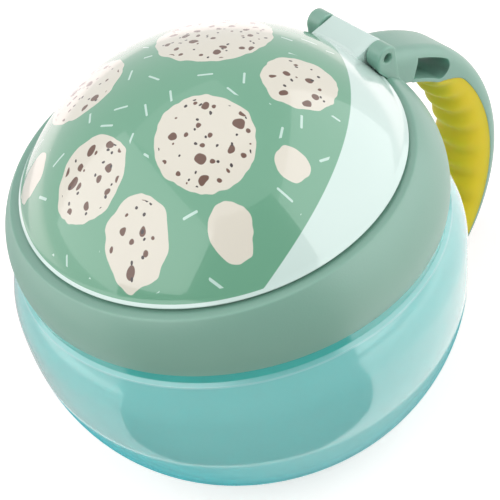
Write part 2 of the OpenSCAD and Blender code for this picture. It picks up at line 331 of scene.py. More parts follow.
def buildCards():
    # cards that only reflections see. The black one lies flat before the bowl, curves up at a steady distance and
    # keeps the gloss dark between the softboxes. A grey one lies to its left. An aqua one, the bowl's own tinted
    # shade, lies under the bowl with a gap that draws a light line
    c = cards
    near, far = c["from"], c["to"]

    def sideEdge(r, azimuth, flare, drift):
        # azimuth + flare exp(-(r - near) / corner) + drift (r - near) / (far - near)
        return azimuth + flare * np.exp(-(r - near) / c["corner"]) + drift * (r - near) / (far - near)

    flat = near + (far - near) * np.linspace(0, 1, 60) ** 2.5
    climb = np.linspace(0, c["climb"], 36)[1:]
    left = np.concatenate([sideEdge(flat, c["leftDegrees"], *c["left"]), np.interp(climb, *c["notch"])])
    right = np.concatenate([sideEdge(flat, c["rightDegrees"], *c["right"]), np.full(len(climb), c["climbRight"])])
    climb = np.radians(climb)
    r = np.concatenate([flat, far * np.cos(climb)])
    z = np.concatenate([0 * flat, far * np.sin(climb)])
    under = np.linspace(c["aquaFrom"], near - c["aquaGap"], 8)
    beside = np.linspace(near, c["greyTo"], 24)
    for name, tones, r, z, left, right in (
            ("blackCard", c["black"], r, z, left, right),
            ("aquaCard", c["aqua"], under, 0.0, c["back"], c["aquaRight"]),
            ("greyCard", c["grey"], beside, 0.0, c["back"], sideEdge(beside, c["greyRight"], *c["left"]))):
        z, left, right = (np.broadcast_to(v, r.shape)[:, None] for v in (z, left, right))
        a = np.radians(left + (right - left) * np.linspace(0, 1, 40))
        card = newPiece(name, around(r[:, None], a, c["lift"] + z), closedRings=False)
        material, tree, shader, coords = newMaterial("Card, matt, " + name, Roughness=1.0, Specular_IOR_Level=0.0)
        # the aqua one pales to the right, where the light comes through the bowl
        across = addNode(tree, "SeparateXYZ", {0: coords}).outputs["X"]
        pale = addNode(tree, "MapRange", {"Value": across, "From Min": c["paleFrom"], "From Max": c["paleTo"]})
        tone = addNode(tree, "Mix", {"Factor": pale, 6: hexColour(tones[0]), 7: hexColour(tones[1])},
                       data_type="RGBA")
        tree.links.new(tone.outputs[2], shader.inputs["Base Color"])
        setMaterial(card, material)
        card.visible_camera = card.visible_diffuse = card.visible_transmission = card.visible_shadow = False


buildCamera()
buildFloor()
buildWorld()
buildCards()
for softbox in studio["softboxes"]:
    addSoftbox(*softbox)
bpy.context.scene.view_settings.view_transform = "Standard"
print("camera, floor and light are set")


bowl = {
    "radius": 48.0, "widestZ": 39.4, "bellyDepth": 44.3, "bellyPower": 2.38, "crownDepth": 25.7,
    "wall": 2.4, "floor": 2.8,
    "shoulderZ": 47.78, "underZ": 45.0,  # the outside turns in at the shoulder, the inside at underZ
    "bandRadius": 44.5, "bandZ": 48.38, "ledgeZ": 50.3, "neckRadius": 41.0, "neckTop": 57.9,
    "footRecess": 0.5,  # the foot's ring stands this far below the middle of the base
    "footRing": (4.2, 3.6, 1.0),  # its edges, inside the belly's radius
    "segments": 240,
    "tones": ("#98f4f0", "#a0f8f4"),
    # painted shade under the collar above the shoulder, then a painted highlight line along the shoulder's edge
    "collarShadeTone": "#62dcd2", "collarShadeZ": (48.28, 48.48), "shoulderHighlightTone": "#b4ffff", "shoulderHighlightZ": (47.7, 0.16),
}
neckThread = {"lead": 10.0, "starts": 2, "first": 52.4, "low": 51.0, "high": 57.2,
              "halfWidth": 0.85, "flank": 0.6, "height": 0.85}


def bellyRadius(z, wall=0.0):
    # superellipse below the widest line, ellipse above it
    low = np.clip((bowl["widestZ"] - z) / (bowl["bellyDepth"] - wall), 0, 1)
    high = np.clip((z - bowl["widestZ"]) / (bowl["crownDepth"] - wall), 0, 1)
    return (bowl["radius"] - wall) * np.where(
        z < bowl["widestZ"], (1 - low ** bowl["bellyPower"]) ** (1 / bowl["bellyPower"]), np.sqrt(1 - high ** 2))


def bellyLine(z0, z1, wall=0.0, steps=40):
    z = np.linspace(z0, z1, steps + 1)
    return np.stack([bellyRadius(z, wall), z], -1)


def buildBowl():
    # a profile of (r, z), up the outside, over the neck and down the inside, revolved
    b, wall, underZ = bowl, bowl["wall"], bowl["underZ"]

    def at(z, wall=0.0):
        return [float(bellyRadius(np.array(z), wall)), z]

    foot = at(0.6)
    ringIn, ringMiddle, ringOut = foot[0] - np.array(b["footRing"])
    neckInner = b["neckRadius"] - wall
    outside = [
        [[0, b["footRecess"]]],
        roundCorners(np.array([
            [0, b["footRecess"]], [ringIn, b["footRecess"]], [ringMiddle, 0.0], [ringOut, 0.0], foot, at(2.0)]),
            [0, 0.5, 0.5, 0.8, 1.5, 0], 4, closed=False)[1:-1],
        bellyLine(1.6, 47.0, steps=54),
        roundCorners(np.array([
            at(47.2), [at(b["shoulderZ"])[0] + 0.03, b["shoulderZ"]], [b["bandRadius"] + 0.05, b["bandZ"]],
            [b["bandRadius"], b["ledgeZ"]], [b["neckRadius"], b["ledgeZ"]], [b["neckRadius"], 50.9]]),
            [0, 0.24, 0.3, 0.35, 0.4, 0], 5, closed=False)]
    neck = np.stack([np.full(28, b["neckRadius"]), np.linspace(50.95, 57.3, 28)], -1)
    inside = [
        roundCorners(np.array([
            [b["neckRadius"], 57.3], [b["neckRadius"], b["neckTop"]], [neckInner, b["neckTop"]],
            [neckInner, underZ + 3], at(underZ, wall), at(underZ - 1.5, wall)]),
            [0, 0.5, 0.5, 3.0, 2.2, 0], 5, closed=False)[1:],
        bellyLine(underZ - 2.2, 6.2, wall, 46),
        # the wall turns into the floor with a soft corner
        roundCorners(np.array([at(6.2, wall), [at(3.4, wall)[0] - 0.4, b["floor"] + 0.05], [14.0, b["floor"]]]),
                     [0, 4.0, 0], 6, closed=False)[1:],
        [[0, b["floor"]]]]
    profile = np.vstack([np.vstack(outside), neck, np.vstack(inside)])
    points = revolve(profile, b["segments"])
    first = sum(len(p) for p in outside)
    rows = slice(first, first + len(neck))
    a = np.arctan2(points[rows, :, 1], points[rows, :, 0])
    out = screwRidge(a, points[rows, :, 2], neckThread)
    points[rows, :, 0] += out * np.cos(a)
    points[rows, :, 1] += out * np.sin(a)
    return newPiece("bowlShell", points)


# copolyester, injection moulded and tinted: clear with a little haze, a polished glossy skin
bowlPlastic, tree, shader, coords = newMaterial(
    "Copolyester, tinted aqua, polished moulding", Roughness=0.16, IOR=1.5, Transmission_Weight=0.28,
    Subsurface_Weight=0.6, Subsurface_Scale=0.012, Subsurface_Radius=(0.6, 1.0, 1.0),
    Coat_Weight=1.0, Coat_Roughness=0.07, Coat_IOR=1.5)
tone = mottle(tree, shader, coords, 60.0, 2.0, bowl["tones"])  # 16 mm
# above the shoulder a deeper aqua is painted on the band and neck as the collar's shade on them, and a pale line
# is painted along the shoulder's edge as a highlight
height = addNode(tree, "SeparateXYZ", {0: coords}).outputs["Z"]
# painted shade: a deeper aqua above the shoulder, where the collar shades the band and neck
deep = addNode(tree, "MapRange", {
    "Value": height, "From Min": bowl["collarShadeZ"][0] * mm, "From Max": bowl["collarShadeZ"][1] * mm})
# painted highlight: a pale line along the shoulder's edge
edge = addNode(tree, "Math", {0: height, 1: bowl["shoulderHighlightZ"][0] * mm, 2: bowl["shoulderHighlightZ"][1] * mm}, operation="COMPARE")
for mask, code in ((deep, bowl["collarShadeTone"]), (edge, bowl["shoulderHighlightTone"])):
    tone = addNode(tree, "Mix", {"Factor": mask, 6: tone, 7: hexColour(code)}, data_type="RGBA").outputs[2]
tree.links.new(tone, shader.inputs["Base Color"])
emboss(tree, shader, coords, 220.0, 1.0, strength=0.015, depth=0.001)  # 4.5 mm, faint flow of the melt

bowlShell = buildBowl()
setMaterial(bowlShell, bowlPlastic)
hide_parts("bowl")
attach(bowlShell, "bowl")
print("bowl is built")


collar = {
    "bulgeRadius": 45.6, "arc": 15.0, "bulgeZ": 55.0, "lowerZ": 50.6,
    "bore": 42.4, "mouth": 33.5, "webZ": 59.9, "landZ": -0.35, "seatRadius": 38.9, "seatZ": -2.2,
    "landEdge": 0.9,  # rounding of the edge outside the lid
    "segments": 264,
    "tones": ("#7eaa99", "#84b09f"),
}
collarThread = {"lead": 10.0, "starts": 2, "first": 54.9, "low": 51.6, "high": 58.0,
                "halfWidth": 0.8, "flank": 0.6, "height": 0.85}
ear = {"inner": 7.1, "width": 3.85, "radius": 2.6, "back": 2.35, "footZ": 61.4, "edge": 0.4, "clearance": 0.35,
       "hole": 1.02, "countersink": 1.24, "holeDepth": 1.8, "gussetY": 38.65, "gussetIn": 5.9, "gussetTop": 66.4}
handle = {
    "halfWidth": 6.8, "edge": 3.6, "edgePower": 2.2,
    "start": (39.3, 68.3),  # first point of the outer line, in Y and Z
    "arcs": ((51.0, 77.1, 53.7), (22.7, 53.7, 42.2), (40.0, 42.2, -41.9)),  # radius, directions in degrees
    "root": 7.5, "spine": 2.7, "spineGain": 1.4,  # depths
    "blendStart": 21.5, "blendLength": 11.5,  # lengths along it
    "tip": 8.0, "rootEndY": 38.55,
    "slotStart": 63.4, "slotCentre": 22.05, "slotTop": 2.1, "slotHeight": 4.6,
}


def buildBand():
    # for each angle, a closed section: bulging outside, land and seat on the lid's tilted plane, mouth, web, bore
    c = collar
    a = np.linspace(0, 2 * math.pi, c["segments"], endpoint=False)
    t = math.radians(rimPlane["tiltDegrees"])
    centre = c["bulgeRadius"] - c["arc"]
    top = np.full_like(a, 0.8)
    for _ in range(30):  # the angle on the outer arc at which it meets the land plane
        y = (centre + c["arc"] * np.cos(top)) * np.sin(a)
        landHeight = rimPlane["centre"][2] + (c["landZ"] + math.sin(t) * (y - rimPlane["centre"][1])) / math.cos(t)
        top = np.arcsin((landHeight - c["bulgeZ"]) / c["arc"])
    low = math.asin((c["lowerZ"] - c["bulgeZ"]) / c["arc"])
    steps = 26
    f = np.linspace(0, 1, steps + 1)
    b = low + (top[:, None] - low) * f
    r = centre + c["arc"] * np.cos(b)
    outer = around(r, a[:, None], c["bulgeZ"] + c["arc"] * np.sin(b))

    def level(radius, z):
        return around(radius, a, z)[:, None]

    def tilted(radius, z):
        return fromRimPlane(level(radius, z))

    seatIn = tilted(c["mouth"], c["seatZ"])
    seatIn[:, 0, :2] = level(c["mouth"], 0)[:, 0, :2]
    corners = np.concatenate([
        outer, tilted(c["seatRadius"], c["landZ"]), tilted(c["seatRadius"], c["seatZ"]), seatIn,
        level(c["mouth"], c["webZ"]), level(c["bore"], c["webZ"]), level(c["bore"], 58.6)], 1)
    radii = [0.35] + [0.0] * (steps - 1) + [c["landEdge"], 0.3, 0.3, 0.6, 0.6, 0.8, 0.0]
    z = np.linspace(58.2, 51.3, 30)
    r = c["bore"] - screwRidge(a[:, None], z[None], collarThread)
    corners = np.concatenate([corners, around(r, a[:, None], z), level(c["bore"], c["lowerZ"])], 1)
    radii += [0.0] * len(z) + [0.35]
    section = roundCorners(corners, radii, 4)
    return newPiece("band", np.concatenate([section, section[:1]]))


def buildEar(side):
    # rings about the pin's axis: round above it, flat behind, and below it the nearest of the ear's back, its
    # front, the dome's clearance and the foot; the outer face runs in over a countersink to the pin's hole
    e = ear
    cy, cz = hingeAxis["y"], hingeAxis["z"]
    t = math.radians(rimPlane["tiltDegrees"])
    domeY = rimPlane["centre"][1] - math.sin(t) * domeShell["centreZ"]
    domeZ = rimPlane["centre"][2] + math.cos(t) * domeShell["centreZ"]
    clear = domeShell["radius"] + e["clearance"]
    corner = math.atan2(e["footZ"] - cz, e["back"])
    flat = math.acos(e["back"] / e["radius"])
    a = np.unique(np.concatenate([
        np.linspace(0, flat, 6), np.linspace(flat, math.pi, 33), np.linspace(math.pi, 1.5 * math.pi, 17),
        np.linspace(corner, 0, 17) + 2 * math.pi, np.linspace(1.5 * math.pi, 2 * math.pi + corner, 7)]))[:-1]

    def outline(x, inset):
        dy, dz = np.cos(a), np.sin(a)
        reach = e["radius"] / np.where(dz < -1e-9, np.maximum(np.abs(dy), 1e-6), 1.0)
        reach = np.minimum(reach, np.where(dz < -1e-9, (cz - e["footZ"]) / np.maximum(-dz, 1e-9), e["radius"]))
        reach = np.minimum(reach, np.where(dy > 1e-9, e["back"] / np.maximum(dy, 1e-9), 99.0))
        py, pz = cy - domeY, cz - domeZ
        half = py * dy + pz * dz
        inside = half ** 2 - (x * x + py * py + pz * pz - clear ** 2)
        enter = -half - np.sqrt(np.maximum(inside, 0))
        reach = np.where((inside > 0) & (enter > 0), np.minimum(reach, enter), reach)
        return reach - inset

    def ring(x, reach):
        return np.stack([np.full_like(a, side * x), cy + reach * np.cos(a), cz + reach * np.sin(a)], -1)

    x0, x1 = e["inner"], e["inner"] + e["width"]
    turn = np.radians(np.linspace(0, 90, 6))
    shrink = [(e["edge"] * (1 - s), e["edge"] * (1 - c)) for s, c in zip(np.sin(turn), np.cos(turn))]
    rings = [ring(x0 + across, outline(x0, inset)) for across, inset in shrink[::-1]]
    rings += [ring(x, outline(x, 0)) for x in np.linspace(x0 + e["edge"], x1 - e["edge"], 6)[1:-1]]
    rings += [ring(x1 - across, outline(x1, inset)) for across, inset in shrink]
    last, full, hole, sink = outline(x1, e["edge"]), np.full_like(a, 1.0), e["hole"], e["countersink"]
    rings += [ring(x1, sink * full + (last - sink) * f) for f in (0.6, 0.25)]
    rings += [ring(x1 - depth, radius * full) for depth, radius in (
        (0, sink), (0.05, sink - 0.08), (0.14, hole + 0.06), (0.26, hole), (e["holeDepth"] + 0.6, hole))]
    return newPiece("ear", np.array(rings), capped=True)


def buildGusset(side):
    # a small block that ties the foot of an ear to the handle, mostly hidden between them
    y0, y1 = ear["gussetY"], hingeAxis["y"] + ear["back"] - 0.2
    outline = roundCorners(np.array([
        [y0, ear["footZ"]], [y1, ear["footZ"]], [y1, ear["gussetTop"]], [y0, ear["gussetTop"]]]), [0.3] * 4, 3)
    x0, x1 = sorted((side * ear["gussetIn"], side * (ear["inner"] + 1.0)))
    return plate("gusset", outline, x0, x1, 0.3)


def handleAt(s):
    # point of the handle's outer line and its outward direction at length s, both in Y and Z: along an arc of
    # radius r the direction turns by s / r, and the next arc starts where this one ends, without a kink
    point, begun = np.array(handle["start"]), 0.0
    out, face = np.zeros(s.shape + (2,)), np.zeros(s.shape + (2,))
    for radius, first, last in handle["arcs"]:
        first, last = math.radians(first), math.radians(last)
        centre = point - radius * np.array([math.cos(first), math.sin(first)])
        angle = first - (s - begun) / radius
        u = np.stack([np.cos(angle), np.sin(angle)], -1)
        here = (s >= begun)[..., None] | (begun == 0)
        out = np.where(here, centre + radius * u, out)
        face = np.where(here, u, face)
        point = centre + radius * np.array([math.cos(last), math.sin(last)])
        begun += radius * (first - last)
    return out, face


def lengthTo(degrees):
    # length along the handle at which the first arc reaches a direction
    radius, first, last = handle["arcs"][0]
    return radius * math.radians(first - degrees)


arcEnds = np.cumsum([radius * math.radians(first - last) for radius, first, last in handle["arcs"]])
handleLength = arcEnds[2]
tipRadius = handle["tip"] / 2


def gripBack(s):
    # depth of the green spine: the root's, easing down to the bare spine, which thins towards the tip
    blendEnd = handle["blendStart"] + handle["blendLength"]
    spine = handle["spine"] + handle["spineGain"] * np.clip((handleLength - s) / (handleLength - blendEnd), 0, 1)
    return spine + (handle["root"] - spine) * smoothStep(1 - (s - handle["blendStart"]) / handle["blendLength"])


def sweep(s, section):
    # section gives (across x, depth below the outer line) per length s; depth runs against the outward direction
    p, u = handleAt(s)
    yz = p[:, None, :] - section[..., 1:] * u[:, None, :]
    return np.concatenate([section[..., :1], yz], -1)


def pastTip(x, depth, b):
    # past the last arc, points turned by b along the tip's circle, of half the handle's thickness
    p, u = handleAt(arcEnds[2:])
    down = np.array([u[0, 1], -u[0, 0]])
    yz = p[0] - depth[..., None] * u[0] + (tipRadius * np.sin(b))[..., None] * down
    return np.concatenate([x[..., None], yz], -1)


def halfWidthAt(depth):
    # half the handle's width below its outer line: ((w - x) / e) and (depth / e) lie on a superellipse of edge e
    e, n = handle["edge"], handle["edgePower"]
    return handle["halfWidth"] - e + e * (1 - np.clip(1 - depth / e, 0, 1) ** n) ** (1 / n)


def spineSection(s, top, bottom, corner):
    # closed ring per length: from the bottom up one side, over the flat top and down the other side,
    # following halfWidthAt; the bottom edges, and the top ones where the top lies deep, get a small radius
    top, bottom = np.broadcast_to(top, s.shape)[:, None], np.broadcast_to(bottom, s.shape)[:, None]
    turn = np.linspace(0, 1, 15)[None]
    depth = top + (bottom - top) * turn ** 2
    wide = halfWidthAt(depth)
    flat = np.minimum(wide[:, :1], handle["halfWidth"]) * np.array([[0.66, 0.33, 0.0]])
    left = np.stack([-wide[:, ::-1], depth[:, ::-1]], -1)
    right = np.stack([wide, depth], -1)
    over = np.stack([np.concatenate([-flat, flat[:, 1::-1]], 1), np.repeat(top, 5, 1)], -1)
    ring = np.concatenate([left, over, right], 1)
    deep = corner if float(top.max()) > 3 else 0.0
    radii = [corner] + [0.0] * 13 + [deep] + [0.0] * 5 + [deep] + [0.0] * 13 + [corner]
    return roundCorners(ring, radii, 3)


def buildSpine():
    h = handle
    slotFrom, slotCentre = lengthTo(h["slotStart"]), h["slotCentre"]
    middle, half = h["slotTop"] + h["slotHeight"] / 2, h["slotHeight"] / 2
    slotTo = slotCentre + half
    # root, up to the slot: its rings slide along the handle so that the end is upright behind the hinge
    s = np.linspace(-4.0, slotFrom, 14)
    root = sweep(s, spineSection(s, 0.0, h["root"], 0.5))
    root[..., 1] = np.maximum(root[..., 1], h["rootEndY"])
    pieces = [newPiece("root", root, capped=True)]
    # past the slot, down to the tip
    s = np.linspace(slotTo, handleLength, 90)
    spine = sweep(s, spineSection(s, 0.0, gripBack(s), 0.2))
    b = np.linspace(0, 0.97 * math.acos((tipRadius - h["spine"]) / tipRadius), 10)[1:]
    ends = spineSection(b, tipRadius * (1 - np.cos(b)) + 0.02, h["spine"], 0.2)
    ends = pastTip(ends[..., 0], ends[..., 1], b[:, None])
    pieces.append(newPiece("spine", np.concatenate([spine, ends]), capped=True))
    # the two bars over and under the slot, whose round end closes on its middle line
    b = np.linspace(0, math.pi / 2, 12)
    s = np.concatenate([np.linspace(slotFrom, slotCentre, 16)[:-1], slotCentre + half * np.sin(b)])
    gap = np.concatenate([np.full(15, half), half * np.cos(b)])
    pieces.append(newPiece("strap", sweep(s, spineSection(s, 0.0, middle - gap, 0.2)), capped=True))
    pieces.append(newPiece("bar", sweep(s, spineSection(s, middle + gap, gripBack(s), 0.35)), capped=True))
    return pieces


# polypropylene, moulded with a fine spark texture: matt, with a faint skin sheen
collarPlastic, tree, shader, coords = newMaterial(
    "Polypropylene, sage green, fine matt moulding", Roughness=0.38, IOR=1.49, Specular_IOR_Level=0.9,
    Subsurface_Weight=0.3, Subsurface_Scale=0.002, Subsurface_Radius=(0.6, 1.0, 0.8))
mottle(tree, shader, coords, 45.0, 3.0, collar["tones"])  # 22 mm, colour of the melt
# 0.4 mm, coarser than the real 0.1 mm so that it shows
emboss(tree, shader, coords, 2600.0, 2.0, strength=0.05, depth=0.0004)

collarMoulding = joinPieces("collarMoulding", [
    buildBand(), buildEar(1), buildEar(-1), buildGusset(1), buildGusset(-1)] + buildSpine())
setMaterial(collarMoulding, collarPlastic)
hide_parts("collar")
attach(collarMoulding, "collar")
print("collar, ears and handle are built")


grip = {
    "start": 61.2,  # direction in degrees at which it begins on the first arc
    "edge": 0.45, "thickness": 10.25, "fit": 0.03, "inset": 0.04, "power": 2.4,  # depths
    "swell": 25.5, "taper": 25.0, "ribFade": 6,  # lengths
    "ribPitch": 7.8, "ribPhase": 36.8, "ribHeight": 1.2, "across": 44, "along": 240,
    "tones": ("#ffd01c", "#ffd828"),
}


def buildGrip():
    # rings along the handle: flat on the spine, a squared half oval inside whose depth waves along the length,
    # -cos(2 pi s / pitch) / 2, and not at all where it meets the spine
    g = grip
    a = np.linspace(0, math.pi, g["across"] + 1)
    cx = np.sign(np.cos(a)) * np.abs(np.cos(a)) ** (2 / g["power"])
    sy = np.sin(a) ** (2 / g["power"])
    first = lengthTo(g["start"])
    s = np.linspace(first, handleLength, g["along"] + 1)
    back = gripBack(s) + g["fit"]
    thin = handle["root"] + g["edge"]
    inner = thin + (g["thickness"] - thin) * smoothStep((s - first) / g["swell"])
    inner -= (g["thickness"] - handle["tip"]) * smoothStep(1 - (handleLength - s) / g["taper"])
    fade = smoothStep((handleLength - s) / g["ribFade"]) * smoothStep((s - first) / g["ribFade"])
    inner -= 0.5 * g["ribHeight"] * np.cos(2 * math.pi * (s - g["ribPhase"]) / g["ribPitch"]) * fade
    wide = halfWidthAt(back) - g["inset"]
    rings = sweep(s, np.stack([wide[:, None] * cx, back[:, None] + (inner - back)[:, None] * sy], -1))
    b = np.radians(np.linspace(0, 64, 12))[1:, None]
    back = handle["spine"] + g["fit"]
    depth = back + (tipRadius * (1 + np.cos(b)) - back) * sy
    x = (halfWidthAt(back) - g["inset"]) * (1 - 0.25 * (1 - np.cos(b))) * cx
    return newPiece("gripSleeve", np.concatenate([rings, pastTip(x, depth, b)]), capped=True)


# thermoplastic rubber, overmoulded: soft, dull, with a broad weak sheen
gripRubber, tree, shader, coords = newMaterial(
    "Thermoplastic rubber, mustard yellow, overmoulded", Roughness=0.5, IOR=1.5, Specular_IOR_Level=0.4,
    Subsurface_Weight=0.6, Subsurface_Scale=0.007, Subsurface_Radius=(1.0, 0.65, 0.12), Sheen_Weight=0.06)
mottle(tree, shader, coords, 90.0, 2.0, grip["tones"])  # 11 mm
emboss(tree, shader, coords, 1800.0, 2.0, strength=0.06, depth=0.0004)  # 0.55 mm skin

gripSleeve = buildGrip()
setMaterial(gripSleeve, gripRubber)
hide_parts("handle_grip")
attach(gripSleeve, "collar")
print("grip is built")


lid = {
    "rimRadius": 39.6, "rimZ": 0.25, "shoulderHighlightZ": 0.7, "spigotOut": 38.3, "spigotIn": 37.0, "spigotDepth": 1.8,
    "segments": 240,
    "tongueHalf": 6.8, "tongueEdge": 0.35, "barrelRadius": 2.6, "rearY": 38.1, "footZ": 67.8,
    "strapBack": (39.6, 74.0), "strapSlopeDegrees": 8.3, "strapFillet": 1.3,
}


def buildDome():
    # revolve about the tilted axis: dome outside, rounded rim, spigot, dome inside
    d, r = domeShell, lid["rimRadius"]
    rimAngle = math.degrees(math.asin((lid["shoulderHighlightZ"] - d["centreZ"]) / d["radius"]))
    inner = d["radius"] - d["wall"]
    innerAngle = math.degrees(math.acos(lid["spigotIn"] / inner))
    profile = np.vstack([
        arcPoints((0, d["centreZ"]), d["radius"], 90, rimAngle + 0.6, 60),
        roundCorners(np.array([
            arcPoints((0, d["centreZ"]), d["radius"], rimAngle + 0.6, rimAngle + 0.6, 0)[0],
            [r, lid["rimZ"] + 0.28], [r, lid["rimZ"]], [lid["spigotOut"], lid["rimZ"]],
            [lid["spigotOut"], -lid["spigotDepth"]], [lid["spigotIn"], -lid["spigotDepth"]],
            [lid["spigotIn"], 0.4]]), [0, 0.2, 0.14, 0.3, 0.4, 0.4, 0], 4, closed=False)[1:],
        arcPoints((0, d["centreZ"]), inner, innerAngle, 90, 50)])
    return newPiece("dome", fromRimPlane(revolve(profile, lid["segments"])))


def strapHeight(y):
    return lid["strapBack"][1] - (lid["strapBack"][0] - y) * math.tan(math.radians(lid["strapSlopeDegrees"]))


def buildTongue():
    # side outline in Y and Z: from inside the dome's wall up along the strap, round the barrel and down the web
    cy, cz = hingeAxis["y"], hingeAxis["z"]
    y = np.linspace(33.0, lid["strapBack"][0] - 0.25, 12)
    outline = np.vstack([
        [[32.6, 72.2]], [[32.75, 72.8]], np.stack([y, strapHeight(y)], -1),
        arcPoints((cy, cz), lid["barrelRadius"], 56, -84, 22),
        [[lid["rearY"], 69.0], [lid["rearY"], 68.4], [lid["rearY"], lid["footZ"]],
         [36.4, lid["footZ"]], [35.2, 69.2], [34.2, 70.4], [33.3, 71.4]]])
    return plate("tongue", outline, -lid["tongueHalf"], lid["tongueHalf"], lid["tongueEdge"])


def buildStrapFoot():
    # where the strap leaves the dome: a smooth maximum of both heights, max(a, b) + max(k - |a - b|, 0)^2 / 4k,
    # a hair under each of them away from the joint, and closed inside the dome's wall
    t = math.radians(rimPlane["tiltDegrees"])
    centre = np.array(rimPlane["centre"][1:]) + domeShell["centreZ"] * np.array([-math.sin(t), math.cos(t)])
    x, y = np.meshgrid(np.linspace(-1, 1, 49) * (lid["tongueHalf"] - 0.12), np.linspace(32.2, 35.6, 41))
    dome = centre[1] + np.sqrt(domeShell["radius"] ** 2 - x ** 2 - (y - centre[0]) ** 2)
    ends = np.clip((lid["tongueHalf"] - 0.1 - np.abs(x)) / 1.2, 0, 1)
    k = lid["strapFillet"] * smoothStep(ends) + 0.02
    strap = strapHeight(y) - 0.03
    top = np.maximum(dome - 0.03, strap) + np.maximum(k - np.abs(dome - 0.03 - strap), 0) ** 2 / (4 * k)
    bottom = np.minimum(dome, strap) - 0.9
    over = np.stack([x, y, top], -1)
    under = np.stack([x, y, bottom], -1)[:, ::-1]
    return newPiece("strapFoot", np.concatenate([over, under], 1), capped=True)


lidPrint = {
    # the film lies where both discs overlap, and leaves a plain crescent beside the hinge; all in mm
    "discs": ((0.0, 0.0, 39.15), (-13.2, -13.2, 48.6)),
    "biscuits": ((-8.0, 13.0, 11.5), (14.0, -8.0, 9.6), (-20.5, -11.0, 8.6), (-1.0, -25.5, 7.6),
                 (14.5, 15.0, 7.0), (14.5, -28.0, 6.4), (-29.0, 8.0, 4.4), (-15.0, 30.5, 4.6),
                 (27.0, 1.0, 3.2), (-19.5, -29.0, 4.0), (27.5, -15.5, 4.2)),
    "largeFrom": 6, "waver": 1.8, "sprinkleHalf": 1.3,
    "chipSize": (0.06, 0.22),  # least, and how much more by chance, as a share of a cell
    "crumbShare": 0.3,
    "ground": "#74ad90", "biscuit": "#e6e1d3", "chip": "#6b4a3c", "crumb": "#3a3133",
    "sprinkle": "#c9e6db", "plain": "#d7ece6",
}


